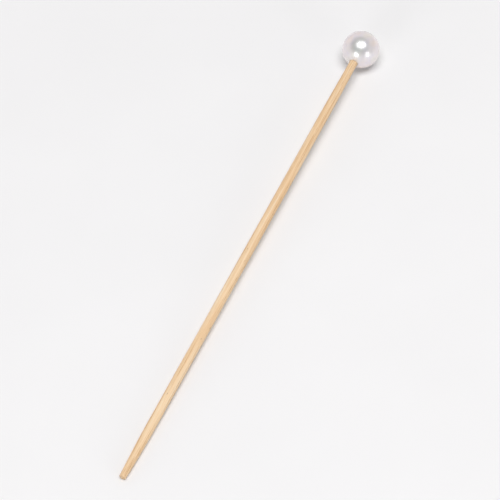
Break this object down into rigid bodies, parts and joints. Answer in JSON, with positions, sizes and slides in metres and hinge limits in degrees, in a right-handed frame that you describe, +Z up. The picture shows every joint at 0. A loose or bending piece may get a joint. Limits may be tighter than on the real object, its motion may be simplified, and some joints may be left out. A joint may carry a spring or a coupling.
{
  "type": "cocktail pick",
  "caption": "Slim straight wooden stick, tapered to a square-cut tip, with a round pearl bead glued on its head, for spearing and lifting small food.",
  "frame": {"origin": "on the surface that the pick lies on, under the middle of its whole length", "axes": "+X along the pick from the tip to the bead, +Z up from the surface that it lies on, +Y across it"},
  "size_m": [0.12, 0.008, 0.008],
  "materials": {
    "bamboo": "bare pale bamboo, fine lengthwise fibre, matt",
    "pearl": "cool white pearl lacquer with a faint pink and lavender sheen, high gloss",
    "glue": "clear set glue, faintly yellow"
  },
  "bodies": {
    "root": {"stick": "bamboo", "pearl_bead": "pearl", "glue": "glue"}
  },
  "joints": []
}
